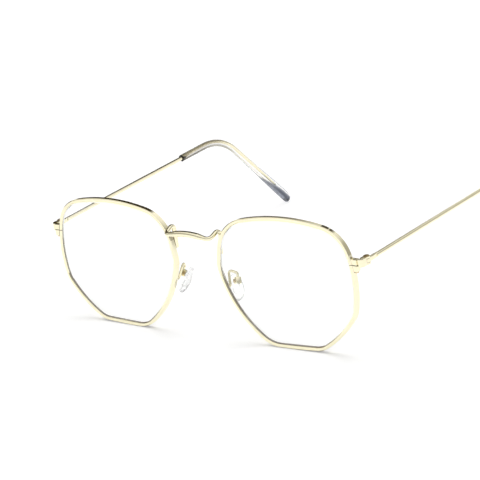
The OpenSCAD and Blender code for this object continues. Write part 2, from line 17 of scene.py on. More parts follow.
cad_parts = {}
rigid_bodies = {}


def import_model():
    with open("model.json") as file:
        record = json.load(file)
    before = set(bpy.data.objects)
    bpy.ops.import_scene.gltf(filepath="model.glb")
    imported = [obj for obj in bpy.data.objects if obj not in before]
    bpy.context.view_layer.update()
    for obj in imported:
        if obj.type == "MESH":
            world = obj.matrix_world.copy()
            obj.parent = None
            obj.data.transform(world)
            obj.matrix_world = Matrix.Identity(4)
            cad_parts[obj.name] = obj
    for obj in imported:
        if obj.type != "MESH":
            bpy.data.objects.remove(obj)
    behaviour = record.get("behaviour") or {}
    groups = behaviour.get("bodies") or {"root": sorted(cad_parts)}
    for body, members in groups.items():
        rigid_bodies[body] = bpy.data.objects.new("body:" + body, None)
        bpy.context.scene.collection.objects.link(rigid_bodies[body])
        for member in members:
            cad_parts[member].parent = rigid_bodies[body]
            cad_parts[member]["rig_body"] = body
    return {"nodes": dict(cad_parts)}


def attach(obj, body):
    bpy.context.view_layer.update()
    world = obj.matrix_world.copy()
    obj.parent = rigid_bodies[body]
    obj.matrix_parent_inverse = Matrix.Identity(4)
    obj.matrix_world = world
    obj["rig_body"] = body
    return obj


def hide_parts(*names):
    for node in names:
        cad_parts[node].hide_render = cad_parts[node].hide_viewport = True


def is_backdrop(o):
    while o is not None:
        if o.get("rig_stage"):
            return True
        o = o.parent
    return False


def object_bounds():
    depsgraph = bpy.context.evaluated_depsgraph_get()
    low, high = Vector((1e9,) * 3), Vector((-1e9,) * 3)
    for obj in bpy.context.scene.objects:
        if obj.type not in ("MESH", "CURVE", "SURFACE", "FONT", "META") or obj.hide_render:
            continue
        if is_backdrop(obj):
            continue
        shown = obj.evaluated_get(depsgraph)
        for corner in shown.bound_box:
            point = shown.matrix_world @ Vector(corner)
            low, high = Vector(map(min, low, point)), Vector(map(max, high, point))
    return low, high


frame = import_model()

nodes = frame["nodes"]
cad_low, cad_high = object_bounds()
SIDES = {"left": 1, "right": -1}


def in_mm(values):
    return [round(v * 1000, 2) for v in values]


print("CAD nodes:", len(nodes), "box in mm:", in_mm((*cad_low, *cad_high)))

# %% [markdown]
# ## The camera
# The picture was taken from the wearer's left, a little above the glasses and with the
# camera slightly rolled. A camera can be placed with three angles, but the view is easier to
# reason about when its three axes are written down: one points back from the glasses to
# the camera, one to the right of the picture and one up. The numbers come from fitting the
# outlines of the rims and of one temple to the photograph.

# %% Place the camera
AZIMUTH, ELEVATION, ROLL = math.radians(38.32), math.radians(16.90), math.radians(-6.24)
DISTANCE, TARGET_RIGHT, TARGET_UP = 0.74714, -0.01043, -0.03280
FRONT_Y = -0.0683959    # the front's place, which the fit measured from
FIT_ORIGIN = Vector((0, FRONT_Y, -0.00029))
LENS_MM, SENSOR_MM = 166.07, 36

back = Vector((math.sin(AZIMUTH) * math.cos(ELEVATION), -math.cos(AZIMUTH) * math.cos(ELEVATION),
               math.sin(ELEVATION)))
level = Vector((math.cos(AZIMUTH), math.sin(AZIMUTH), 0))
upward = back.cross(level)
right_axis = level * math.cos(ROLL) + upward * math.sin(ROLL)
up_axis = upward * math.cos(ROLL) - level * math.sin(ROLL)

camera_data = bpy.data.cameras.new("camera")
camera_data.lens, camera_data.sensor_width = LENS_MM, SENSOR_MM
camera_data.clip_start, camera_data.clip_end = 0.05, 50
camera = bpy.data.objects.new("camera", camera_data)
bpy.context.scene.collection.objects.link(camera)
camera.matrix_world = Matrix.Translation(
    back * DISTANCE - right_axis * TARGET_RIGHT - up_axis * TARGET_UP + FIT_ORIGIN
) @ Matrix((right_axis, up_axis, back)).transposed().to_4x4()
bpy.context.scene.camera = camera
bpy.context.scene.view_settings.view_transform = "Standard"
print("camera at", [round(v, 3) for v in camera.matrix_world.translation])

# %% [markdown]
# ## Materials as expressions
# A material is a net of small nodes. They could be wired by hand in the Shader Editor, or
# one by one in code, where even a simple sum takes six lines. Here one method, `add`, makes a
# node of any kind, sets it up and fills its inputs with numbers, colours or links.

# %% One way to make every node
class Net:
    """The node tree of one material or of the world."""

    def __init__(self, tree):
        self.tree = tree
        self.tree.nodes.clear()

    def add(self, kind, settings=None, **inputs):
        """Makes a node. An input goes by its name, with _ for a space, or by number, as i0."""
        node = self.tree.nodes.new(kind)
        for name, value in (settings or {}).items():
            if name == "stops":
                for place, _ in value[:-2]:
                    node.color_ramp.elements.new(place)
                for element, (place, colour) in zip(node.color_ramp.elements, value):
                    element.position, element.color = place, (*colour, 1)
            else:
                setattr(node, name, value)
        for name, value in inputs.items():
            socket = node.inputs[int(name[1:]) if name[1:].isdigit() else name.replace("_", " ")]
            if isinstance(value, Value):
                self.tree.links.new(value.socket, socket)
            else:
                socket.default_value = (*value, 1) if socket.type == "RGBA" else value
        return node

    def value(self, node, output=0):
        return Value(self, node.outputs[output])

    def math(self, operation, *terms, clamp=False):
        inputs = {f"i{k}": term for k, term in enumerate(terms)}
        settings = {"operation": operation, "use_clamp": clamp}
        return self.value(self.add("ShaderNodeMath", settings, **inputs))


print("nets of nodes ready")

# %% [markdown]
# Sums are what a material needs most, and they are easier to read as sums. So the output of
# a node is wrapped as well, and each of Python's signs makes a Math node when it is used
# on one: `1 - a * b` builds two nodes and links them.

# %% Numbers that Python's signs work on
class Value:
    """The output of a node, which Python's own signs can work on."""

    def __init__(self, net, socket):
        self.net, self.socket = net, socket

    def __add__(self, other):
        return self.net.math("ADD", self, other)

    def __sub__(self, other):
        return self.net.math("SUBTRACT", self, other)

    def __rsub__(self, other):
        return self.net.math("SUBTRACT", other, self)

    def __mul__(self, other):
        return self.net.math("MULTIPLY", self, other)

    __radd__, __rmul__ = __add__, __mul__

    def limited(self):
        """The same number, kept between 0 and 1."""
        return self.net.math("ADD", self, 0.0, clamp=True)


print("signs for nodes ready")

# %% [markdown]
# ## What the materials share
# Plating and plastic are never quite even, and where a tint ends follows the piece, not the
# picture. So nearly every material here needs a cloud of noise, the place of a point on its
# piece, and a soft step between two places. Each is a short function from here on.

# %% Helpers for materials
def material(name):
    made = bpy.data.materials.new(name)
    made.use_nodes = True
    return made, Net(made.node_tree)


def object_place(net):
    return net.value(net.add("ShaderNodeTexCoord"), "Object")


def axes(net):
    """The x, y and z of a point on the piece, in metres."""
    split = net.add("ShaderNodeSeparateXYZ", None, Vector=object_place(net))
    return [net.value(split, k) for k in range(3)]


def noise(net, scale, detail=3.0):
    return net.value(net.add("ShaderNodeTexNoise", None, Vector=object_place(net), Scale=scale,
                             Detail=detail))


def eased(value, start, end, low=0.0, high=1.0):
    """Goes smoothly from low to high while the value goes from start to end."""
    node = value.net.add("ShaderNodeMapRange", {"interpolation_type": "SMOOTHSTEP"}, Value=value,
                         From_Min=start, From_Max=end, To_Min=low, To_Max=high)
    return value.net.value(node)


def mix_colour(net, factor, first, second):
    node = net.add("ShaderNodeMix", {"data_type": "RGBA"}, i0=factor, i6=first, i7=second)
    return net.value(node, 2)


def output(net, shader, kind="ShaderNodeOutputMaterial"):
    net.add(kind, None, Surface=net.value(shader))


def surface(net, **sockets):
    output(net, net.add("ShaderNodeBsdfPrincipled", **sockets))


print("material helpers ready")

# %% [markdown]
# ## Polished gold
# Plated wire has no colour of its own under the light: it shows its surroundings, tinted.
# A yellow paint would look like plastic, so the finish is a clean metal with a pale tint.
# Its faults are small: plating that is a little thinner here and there, and fine
# polishing marks in the roughness. In narrow crevices and where parts meet, shade is
# painted into the colour: the Ambient Occlusion node finds them and turns them dark brown.

# %% Gold and screw metal
CLOUD_SCALE, MARK_SCALE = 220.0, 2600.0
MARK_STRENGTH, MARK_DEPTH = 0.06, 0.00002
# painted shade in crevices: how far the occlusion looks, how much it darkens, and the dark brown it
# paints
CREVICE_SHADING_REACH, CREVICE_SHADING_SHARE, CREVICE_SHADING_COLOUR = 0.0022, 0.95, (0.07, 0.045, 0.02)
SHADING_STARTS, SHADING_FULL = 0.56, 0.28    # share of its surroundings a point sees where a seam starts, is full


def plated(name, pale, deep, smooth, rough):
    """Polished plating, with its tint and its roughness between two values each."""
    made, net = material(name)
    cloud = (noise(net, CLOUD_SCALE) * 1.6 - 0.3).limited()    # raises the noise's contrast
    marks = noise(net, MARK_SCALE, 2.0)
    rub = (marks * 1.8 - 0.4).limited()
    # painted shade: the Ambient Occlusion node darkens crevices and the gaps between parts to dark
    # brown
    nearby = net.add("ShaderNodeAmbientOcclusion", {"samples": 8}, Distance=CREVICE_SHADING_REACH)
    crevice_shading = eased(net.value(nearby, 1), SHADING_STARTS, SHADING_FULL) * CREVICE_SHADING_SHARE
    bump = net.add("ShaderNodeBump", None, Strength=MARK_STRENGTH, Distance=MARK_DEPTH,
                   Height=marks)
    surface(net, Base_Color=mix_colour(net, crevice_shading, mix_colour(net, cloud, pale, deep), CREVICE_SHADING_COLOUR),
            Metallic=1.0, Roughness=rub * (rough - smooth) + smooth, Normal=net.value(bump))
    return made


gold = plated("pale_gold", (0.97, 0.92, 0.70), (0.94, 0.875, 0.62), smooth=0.04, rough=0.10)
screw_gold = plated("screw_gold", (0.74, 0.61, 0.36), (0.60, 0.47, 0.25), smooth=0.16, rough=0.30)
print("metals:", gold.name, screw_gold.name)

# %% [markdown]
# ## Glass and clear plastic
# Three parts of the glasses are clear: the lenses, which are almost invisible, the ear tips,
# which bend the light strongly, and the soft nose pads. Thin glass could be faked with a
# nearly transparent surface, but these have real thickness, so light is sent through
# them, and only the index of refraction and the haze differ. Each gets its own colours where
# it is modelled; the glass comes first.

# %% Clear materials
SMEAR_SCALE = 90.0


def clear(name, colour, ior, smooth, rough, solid=1.0, shades=()):
    """Clear plastic or glass; each shade is a colour and the function that says where it is."""
    made, net = material(name)
    haze = (noise(net, SMEAR_SCALE, 2.0) * 2.0 - 0.7).limited()
    for shade, where in shades:
        colour = mix_colour(net, where(net), colour, shade)
    surface(net, Base_Color=colour, Roughness=haze * (rough - smooth) + smooth, IOR=ior,
            Transmission_Weight=1.0, Alpha=solid)
    return made


lens_glass = clear("lens_glass", (0.995, 1.0, 0.998), ior=1.50, smooth=0.0, rough=0.015)
print("clear material:", lens_glass.name)

# %% [markdown]
# ## Frames of reference
# The CAD source builds every piece in a small frame of its own: the front leans forward a
# little, each rim is turned back around the face, and each temple rises towards the ear.
# Pieces could be modelled in place and at their slant, but the same frames are written here
# once, so that a lens or a tip is modelled square to the axes, where it is easy, and then put
# in its place.

# %% The same frames as in the CAD source, in metres
LEAN, WRAP, RISE, FLARE = 2.2, 2.4, 2.83414, 1.2    # degrees
FRONT_Z, RIM_X = 0.0226593, 0.0367
HINGE_IN_FRONT, PAD_IN_FRONT = (0.0646, 0.0045, 0.0099), (0.0115, 0.0047, -0.0030)
PAD_TURNS = ((-28, "Z"), (-16, "X"), (-30, "Y"))


def turned(angle, axis):
    return Matrix.Rotation(math.radians(angle), 4, axis)


front = Matrix.Translation((0, FRONT_Y, FRONT_Z)) @ turned(LEAN, "X")
rim_frame = front @ Matrix.Translation((RIM_X, 0, 0)) @ turned(WRAP, "Z")
hinge_frame = (front @ Matrix.Translation(HINGE_IN_FRONT) @ turned(RISE - LEAN, "X")
               @ turned(-FLARE, "Z"))
pad_frame = front @ Matrix.Translation(PAD_IN_FRONT)
for angle, axis in PAD_TURNS:
    pad_frame = pad_frame @ turned(angle, axis)
mirror = Matrix.Scale(-1, 4, (1, 0, 0))
print("hinge pin at", in_mm(hinge_frame.translation), "mm")

# %% [markdown]
# ## Working by hand, in code
# Edit mode works on what is selected, and every operator takes its pivot from the script,
# because there is no window with a cursor. Meshes could also be written as lists of points,
# but tools such as extrude and bevel show better how a shape grows, so they are used
# wherever they can be, and these helpers tell them what to work on.

# %% Helpers that select and finish
def alone(piece):
    """Selects one object and nothing else."""
    bpy.ops.object.select_all(action="DESELECT")
    piece.select_set(True)
    bpy.context.view_layer.objects.active = piece


def choose(piece, wanted):
    """In edit mode, selects the points that are wanted, and what lies between them."""
    mesh = bmesh.from_edit_mesh(piece.data)
    bpy.ops.mesh.select_all(action="DESELECT")
    for point in mesh.verts:
        point.select_set(bool(wanted(point)))
    mesh.select_flush(True)
    bmesh.update_edit_mesh(piece.data)


def finish_by(piece, kind, **settings):
    """Adds a modifier and applies it."""
    alone(piece)
    modifier = piece.modifiers.new(kind.lower(), kind)
    for name, value in settings.items():
        setattr(modifier, name, value)
    bpy.ops.object.modifier_apply(modifier=modifier.name)


def face_outwards(piece):
    alone(piece)
    bpy.ops.object.mode_set(mode="EDIT")
    bpy.ops.mesh.select_all(action="SELECT")
    bpy.ops.mesh.normals_make_consistent(inside=False)
    bpy.ops.object.mode_set(mode="OBJECT")


print("selecting helpers ready")

# %% [markdown]
# ## Left and right
# Most pieces come in pairs. A Mirror modifier could make the second side, but each temple and
# each pad moves on a body of its own, so each side has to be a piece. The model is built
# once, and a mirrored copy of it goes to the other side of the nose. Left and right in the
# names are the wearer's.

# %% Put a piece in its place on both sides
def box_of(piece):
    points = [v.co for v in piece.data.vertices]
    return [pick(p[k] for p in points) for pick in (min, max) for k in range(3)]


def put(model, name, frame_of_part, body, finish, replaced):
    """Copies the model to both sides, each copy with its own mesh at its place."""
    for side, sign in SIDES.items():
        piece = model.copy()
        piece.data = model.data.copy()
        piece.name = piece.data.name = f"{side}_{name}"
        bpy.context.scene.collection.objects.link(piece)
        piece.matrix_world = frame_of_part if sign > 0 else mirror @ frame_of_part
        alone(piece)
        bpy.ops.object.transform_apply(location=True, rotation=True, scale=True)
        face_outwards(piece)
        piece.data.materials.clear()
        piece.data.materials.append(finish)
        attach(piece, body.format(side=side))
        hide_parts(f"{side}_{replaced}")
        piece.visible_shadow = finish is gold    # light passes through the clear pieces
        print(piece.name, "faces:", len(piece.data.polygons), "box in mm:", in_mm(box_of(piece)))
    bpy.data.objects.remove(model)


print("sides:", list(SIDES))

# %% [markdown]
# ## The outline of a lens
# An optician traces the groove of the rim before a lens is cut. The six bowed sides could
# be calculated again here, but the CAD lens already follows the groove, so its outermost
# points are read, in the rim's own frame, and put in order round the middle.

# %% Read the outline of the groove from the CAD lens
IN_MIDDLE_PLANE = 2e-6
to_rim = rim_frame.inverted()
edge = {tuple(round(c, 7) for c in to_rim @ v.co) for v in nodes["left_lens"].data.vertices}
edge = [point for point in edge if abs(point[1]) < IN_MIDDLE_PLANE]
edge.sort(key=lambda point: math.atan2(point[2], point[0]))
print("points round the lens:", len(edge))

# %% [markdown]
# ## The lenses
# A real lens has a bevel round its edge that sits in the groove, and both faces are parts
# of large spheres. It could be cut out of a sphere with a Boolean, but that leaves long,
# thin faces that spoil the reflections. Here a circle is laid along the groove, then extruded
# and drawn together ring by ring: over the front face to its middle, and over the back face
# in the same way. Many rings keep the reflections even.

# %% Shape one lens
LENS_T, LENS_DOME, LENS_BEVEL = 0.0018, 0.0007, 0.00085
FACE_SIZE = 0.9755    # the face as a share of the outline in the groove
EDGE_SOFTNESS = 0.00002
DOME_RINGS = (0.9, 0.75, 0.58, 0.4, 0.22, 0.08)


def lens_face(lens, way):
    """Extrudes the ring of the edge over one face: way -1 is the front and 1 the back."""
    depth = way * LENS_T / 2
    rings = [(FACE_SIZE, way * LENS_BEVEL / 2), (FACE_SIZE, depth * 0.93),
             (FACE_SIZE * 0.997, depth), (FACE_SIZE * 0.985, depth - EDGE_SOFTNESS)]
    rings += [(FACE_SIZE * f, depth - LENS_DOME * (1 - f * f)) for f in DOME_RINGS]
    choose(lens, lambda v: v.index < len(edge))
    size, place = 1.0, 0.0
    for new_size, new_place in rings:
        move = {"value": (0, new_place - place, 0)}
        bpy.ops.mesh.extrude_region_move(TRANSFORM_OT_translate=move)
        ratio = new_size / size
        bpy.ops.transform.resize(value=(ratio, 1, ratio), center_override=(0, new_place, 0))
        size, place = new_size, new_place
    bpy.ops.mesh.merge(type="CENTER")


bpy.ops.object.select_all(action="DESELECT")
bpy.ops.mesh.primitive_circle_add(vertices=len(edge), radius=0.02)
lens = bpy.context.object
for point, place in zip(lens.data.vertices, edge):
    point.co = place
bpy.ops.object.mode_set(mode="EDIT")
lens_face(lens, -1)
lens_face(lens, 1)
bpy.ops.object.mode_set(mode="OBJECT")
alone(lens)
bpy.ops.object.shade_smooth_by_angle(angle=math.radians(20))
put(lens, "lens_glass", rim_frame, "front", lens_glass, "lens")

# %% [markdown]
# ## The ground edge
# The edge of a lens is ground, not polished, so it is matt and pale, and inside the rim it
# shows as a thin line. Its light and shade are painted: the line is painted dark at the
# bottom and towards the wearer's right, painted pale everywhere else, and it glows with a
# painted light of its own. A separate ring of glass would need seams, so the same mesh gets
# a second material on the faces that point sideways.

# %% Give the sideways faces a ground look and painted light
GROUND_SLOPE = 0.75    # an edge face's normal points less than this to the front
# painted light: the ground edge is painted shaded or lit by the way it faces
LIT_ACROSS, LIT_UP, GRAIN_SHARE = 24, 38, 0.1    # how fast the line turns pale, per metre
ALL_SHADED, ALL_LIT = -0.42, 0.08
painted_light_edge, net = material("ground_lens_edge_painted_light")
x, _, z = axes(net)
across = x - net.math("SIGN", x) * RIM_X
grain = noise(net, 3000.0, 1.0)
towards_light = across * LIT_ACROSS + (z - FRONT_Z) * LIT_UP + grain * GRAIN_SHARE
pale = eased(towards_light, ALL_SHADED, ALL_LIT)
# the base colour paints the edge's light and shade, and the emission is a painted glow
surface(net, Roughness=0.8, Emission_Strength=0.8,
        Base_Color=mix_colour(net, pale, (0.20, 0.17, 0.14), (0.93, 0.93, 0.91)),
        Emission_Color=mix_colour(net, pale, (0.12, 0.10, 0.085), (0.62, 0.62, 0.60)))
for side, sign in SIDES.items():
    glass = bpy.data.objects[f"{side}_lens_glass"]
    glass.data.materials.append(painted_light_edge)
    to_lens = (rim_frame if sign > 0 else mirror @ rim_frame).inverted().to_3x3()
    ground = [face for face in glass.data.polygons if abs((to_lens @ face.normal).y) < GROUND_SLOPE]
    for face in ground:
        face.material_index = 1
    print(glass.name, "ground faces:", len(ground))

# %% [markdown]
# ## Drawn straight
# A temple is a wire that gets thinner where the plastic tip is pushed over it, and both are
# straight until the ear bend is made in warm air. A curve with a bevel could follow the bent
# line at once, but its radius changes height and thickness alike, and the end of a tip grows
# only in height. So they are made in the real order. First a circle is extruded along a
# straight line, and it grows and shrinks from ring to ring.

# %% Helper for straight pieces
SIDES_ROUND = 16
SHRINK = 0.975    # subdivision draws a ring of 16 points in by this much
LINE_X = 0.0003    # the wire's distance from the hinge pin's middle plane


def straight_piece(rings):
    """Extrudes a circle through rings of (length, height, thickness, rise) and closes both ends."""
    s, height, thick, rise = rings[0]
    bpy.ops.object.select_all(action="DESELECT")
    bpy.ops.mesh.primitive_circle_add(vertices=SIDES_ROUND, radius=0.5 / SHRINK,
                                      location=(LINE_X, s, rise), rotation=(math.pi / 2, 0, 0))
    piece = bpy.context.object
    bpy.ops.object.transform_apply(location=True, rotation=True, scale=True)
    bpy.ops.object.mode_set(mode="EDIT")
    bpy.ops.mesh.select_all(action="SELECT")
    bpy.ops.transform.resize(value=(thick, 1, height), center_override=(LINE_X, s, rise))
    for (s0, h0, t0, r0), (s1, h1, t1, r1) in zip(rings, rings[1:]):
        bpy.ops.mesh.extrude_region_move(TRANSFORM_OT_translate={"value": (0, s1 - s0, r1 - r0)})
        bpy.ops.transform.resize(value=(t1 / t0, 1, h1 / h0), center_override=(LINE_X, s1, r1))
    bpy.ops.mesh.merge(type="CENTER")
    choose(piece, lambda v: v.index < SIDES_ROUND)
    for ratio in (0.9, 0.6):    # two more rings keep the flat end flat when it is subdivided
        bpy.ops.mesh.extrude_region_move(TRANSFORM_OT_translate={"value": (0, 0, 0)})
        bpy.ops.transform.resize(value=(ratio, 1, ratio), center_override=(LINE_X, s, rise))
    bpy.ops.mesh.merge(type="CENTER")
    bpy.ops.object.mode_set(mode="OBJECT")
    return piece


print("points round a wire:", SIDES_ROUND)

# %% [markdown]
# ## Then bent
# An optician warms the tip and bends it round a thumb. A Simple Deform modifier could bend
# the piece, but its limits are shares of the piece's own length, and the wire and the tip,
# which differ in length, have to bend at the same place. So at each ring of the bend all that
# lies beyond it is turned a few degrees, and Subdivision Surface then makes the piece smooth.

# %% Helper for the ear bend
BEND_FROM, EAR_R, EAR_TURN, BEND_STEPS = 0.0869162, 0.027, math.radians(45), 12
BEND_TO = BEND_FROM + EAR_R * EAR_TURN
BEND_STEP = (BEND_TO - BEND_FROM) / BEND_STEPS
AT_RING = 1e-6
bend_rings = [BEND_FROM + (BEND_TO - BEND_FROM) * k / BEND_STEPS for k in range(BEND_STEPS + 1)]


def bend_round_ear(piece):
    """Bends the straight piece at each ring of the ear bend, half of each turn on either side."""
    straight = [v.co.y for v in piece.data.vertices]
    bpy.ops.object.mode_set(mode="EDIT")
    pivot, heading = Vector((LINE_X, BEND_FROM, 0)), 0.0
    for k, s in enumerate(bend_rings):
        turn = EAR_TURN / BEND_STEPS * (0.5 if k in (0, BEND_STEPS) else 1)
        for beyond in (s - AT_RING, s + AT_RING):
            choose(piece, lambda v: straight[v.index] > beyond)
            bpy.ops.transform.rotate(value=turn / 2, orient_axis="X", center_override=pivot)
        heading += turn
        pivot = pivot + Vector((0, math.cos(heading), -math.sin(heading))) * BEND_STEP
    bpy.ops.object.mode_set(mode="OBJECT")
    finish_by(piece, "SUBSURF", levels=2, render_levels=2)
    alone(piece)
    bpy.ops.object.shade_smooth_by_angle(angle=math.radians(50))
    print("lowest point", round(box_of(piece)[2] * 1000, 2), "mm from the hinge line")


print("bend rings:", len(bend_rings))

# %% [markdown]
# ## The temple wires
# In front of the plastic the wire is 1.5 mm thick. Inside it, a thinner core runs along the
# upper and outer side of the bend and stops well before the end. The CAD wire could be kept,
# but clear plastic magnifies its core like a rod lens, so that it would look too thick: the
# core is drawn thinner here, with a short taper where the plastic begins.

# %% Shape one temple wire
WIRE_D, CORE_D, CORE_RISE = 0.0015, 0.0008, 0.00038
WIRE_FROM, TIP_FROM, TIP_END = 0.00462, 0.0725, 0.151938
CORE_END = TIP_END - 0.012
wire_rings = [(s, WIRE_D, 0) for s in (WIRE_FROM, WIRE_FROM + 0.0003, 0.02, 0.045,
                                       TIP_FROM - 0.0006, TIP_FROM + 0.0004)]
wire_rings += [(TIP_FROM + 0.0010, WIRE_D * 0.8, 0.0001), (TIP_FROM + 0.0030, CORE_D, CORE_RISE)]
wire_rings += [(s, CORE_D, CORE_RISE) for s in (*bend_rings, 0.118, 0.128, CORE_END - 0.001)]
wire_rings += [(CORE_END, CORE_D * 0.6, CORE_RISE)]
wire = straight_piece([(s, d, d, rise) for s, d, rise in wire_rings])
bend_round_ear(wire)
put(wire, "temple_wire", hinge_frame, "{side}_temple", gold, "temple")

# %% [markdown]
# ## Plastic of the ear tips
# The ear tips look clear along the wire and turn dark slate grey towards their lower ends,
# where the plastic is solid and the wire has stopped. A painted picture could hold that, but it
# would look coarse from close by, and a mask made of distances stays sharp at any size. One
# number runs along the tip's straight end and one across it, and the dark part widens from a
# thin line below the wire to half of the paddle. Over the wire, up to the middle of the bend,
# the sleeve's upper half gets a painted reflection of the dark metal inside it.

# %% Where the tips are dark, and where the wire's reflection is painted
TIP_DOWN = EAR_TURN - math.radians(RISE)
TIP_POINT = (0.0744, 0.00065)    # y and z of the paddle's end
RISEN = math.radians(RISE)
SOFT_LINE = 0.0003    # half the width of a shade's edge
DARK_END_WIDENS, DARK_END_BORDER = (0.028, 0.006), (-0.0017, 0.0007)    # before the end; from the middle
DARK_END_FADES, WIRE_REFLECTION_FADES = (0.040, 0.030), (0.016, 0.006)    # before the end; along the bend
# the first colour is the dark end's tint; the second is a painted reflection of the metal in the
# sleeve
DARK_END_COLOUR, WIRE_REFLECTION_COLOUR, WIRE_REFLECTION_SHARE = (0.07, 0.08, 0.11), (0.40, 0.37, 0.33), 0.85


def dark_end_of_tip(net):
    """The lower half of the paddle, growing towards its end."""
    _, y, z = axes(net)
    y, z = y - TIP_POINT[0], z - TIP_POINT[1]
    before_end = z * math.sin(TIP_DOWN) - y * math.cos(TIP_DOWN)
    outward = y * math.sin(TIP_DOWN) + z * math.cos(TIP_DOWN)
    border = eased(before_end, *DARK_END_WIDENS, *DARK_END_BORDER)
    return eased(border - outward, -SOFT_LINE, SOFT_LINE) * eased(before_end, *DARK_END_FADES)


def painted_wire_reflection(net):
    """The painted reflection on the upper half of the sleeve, up to the middle of the ear bend."""
    _, y, z = axes(net)
    y, z = y - hinge_frame.translation.y, z - hinge_frame.translation.z
    past_start = y * math.cos(RISEN) + z * math.sin(RISEN) - BEND_FROM
    past = net.math("MAXIMUM", past_start, 0.0)
    high = z * math.cos(RISEN) - y * math.sin(RISEN) + EAR_R
    outward = net.math("SQRT", past * past + high * high) - EAR_R
    return eased(outward, -SOFT_LINE, SOFT_LINE) * eased(past, *WIRE_REFLECTION_FADES) * WIRE_REFLECTION_SHARE


tip_clear = clear("tip_plastic", (0.97, 0.965, 0.955), ior=1.49, smooth=0.01, rough=0.05,
                  shades=((DARK_END_COLOUR, dark_end_of_tip), (WIRE_REFLECTION_COLOUR, painted_wire_reflection)))
print("clear material:", tip_clear.name)

# %% [markdown]
# ## The ear tips
# Each tip is a clear plastic sleeve that grows into a flat paddle with a rounded end. The
# sleeve could have a bore for the wire, as the CAD one has, but a film of air in it would hide
# the wire. So the plastic is solid round the core, as it is once it has set.

# %% Shape one ear tip
SLEEVE_T, SLEEVE_H, PADDLE_H = 0.0024, 0.0026, 0.0040
CAP = PADDLE_H / 2
CAP_FROM = TIP_END - CAP
PADDLE_STEPS, CAP_ANGLES = 9, (25, 50, 70, 84)


def tip_height(s):
    f = max(0.0, min(1.0, (s - BEND_TO) / (CAP_FROM - BEND_TO)))
    return SLEEVE_H + (PADDLE_H - SLEEVE_H) * f * f * (3 - 2 * f)


paddle = [BEND_TO + (CAP_FROM - BEND_TO) * k / PADDLE_STEPS for k in range(1, PADDLE_STEPS + 1)]
tip_rings = [(s, tip_height(s), SLEEVE_T, 0) for s in
             (TIP_FROM, TIP_FROM + 0.0003, TIP_FROM + 0.006, *bend_rings, *paddle)]
for angle in map(math.radians, CAP_ANGLES):
    left_over = math.cos(angle)
    tip_rings.append((CAP_FROM + CAP * math.sin(angle), PADDLE_H * left_over,
                      SLEEVE_T * left_over, 0))
tip = straight_piece(tip_rings)
bend_round_ear(tip)
put(tip, "tip_sleeve", hinge_frame, "{side}_temple", tip_clear, "temple_tip")

# %% [markdown]
# ## The nose pads
# A pad is a soft clear drop, flat at the back where its core is moulded in and domed on
# the side that rests on the nose. A squashed sphere would be the quick way, but it is round at
# the back and has no rim. So a circle is stretched into the drop's outline, made narrower
# at the top, and extruded in both directions. The plastic is so clear that the photograph
# hardly shows it, so it is also partly transparent.

# %% Shape one nose pad
PAD_W, PAD_L, PAD_T, PAD_DROP, PAD_TAPER = 0.0064, 0.0098, 0.0024, -0.0018, 0.32
BACK_X = -0.0009
EDGE_X = BACK_X - 0.3 * PAD_T
PAD_SIDES, DOME_ANGLES = 24, (18, 36, 54, 70, 82)
pad_clear = clear("pad_plastic", (0.99, 0.99, 0.985), ior=1.40, smooth=0.03, rough=0.09,
                  solid=0.45)

bpy.ops.object.select_all(action="DESELECT")
bpy.ops.mesh.primitive_circle_add(vertices=PAD_SIDES, radius=0.5, location=(EDGE_X, 0, 0),
                                  rotation=(0, math.pi / 2, 0))
pad = bpy.context.object
bpy.ops.object.transform_apply(location=True, rotation=True, scale=True)
for point in pad.data.vertices:
    point.co.y *= 1 - PAD_TAPER * point.co.z
bpy.ops.object.mode_set(mode="EDIT")
bpy.ops.mesh.select_all(action="SELECT")
bpy.ops.transform.resize(value=(1, PAD_W, PAD_L), center_override=(EDGE_X, 0, 0))
bpy.ops.transform.translate(value=(0, 0, PAD_DROP))


def pad_side(pad, rings):
    """Extrudes the outline through rings of (size, x) and closes the side."""
    size, x = 1.0, EDGE_X
    choose(pad, lambda v: v.index < PAD_SIDES)
    for new_size, new_x in rings:
        bpy.ops.mesh.extrude_region_move(TRANSFORM_OT_translate={"value": (new_x - x, 0, 0)})
        ratio = new_size / size
        bpy.ops.transform.resize(value=(1, ratio, ratio), center_override=(new_x, 0, PAD_DROP))
        size, x = new_size, new_x
    bpy.ops.mesh.merge(type="CENTER")


pad_side(pad, [(math.cos(a) ** 0.7, EDGE_X - 0.7 * PAD_T * math.sin(a))
               for a in map(math.radians, DOME_ANGLES)])
pad_side(pad, [(0.96, EDGE_X + 0.18 * PAD_T), (0.86, BACK_X - 0.00002), (0.8, BACK_X),
               (0.4, BACK_X)])
bpy.ops.object.mode_set(mode="OBJECT")
finish_by(pad, "SUBSURF", levels=2, render_levels=2)
alone(pad)
bpy.ops.object.shade_smooth()
put(pad, "soft_pad", pad_frame, "{side}_pad", pad_clear, "nose_pad")

# %% [markdown]
# ## Metal edges
# The blocks, lugs, hinges and screws come from the CAD with knife-sharp edges. Plated
# parts are tumbled before plating, which rounds every edge by a few hundredths of a
# millimetre, and that is where small parts catch the light. A bevel in the material would only
# shade them, so each CAD node is copied, its loose triangles are joined into whole faces, and
# its edges are really beveled. The node itself stays as it is, hidden, for the physics.

# %% Copy the small metal parts and soften their edges
SOFTENED = {"end_piece": 0.00012, "upper_block": 0.00009, "lower_block": 0.00009,
            "rim_screw": 0.00005, "front_hinge": 0.00007, "hinge_screw": 0.00006,
            "temple_hinge": 0.00010, "pad_box": 0.00006, "pad_screw": 0.00004,
            "pad_core": 0.00005}
FINISH = {"rim_screw": ("screw", screw_gold), "hinge_screw": ("screw", screw_gold),
          "pad_screw": ("screw", screw_gold), "pad_core": ("clear_plastic", pad_clear)}
SAME_POINT, FLAT, SHARP, ROUNDED = 0.0000005, math.radians(1), math.radians(40), math.radians(32)


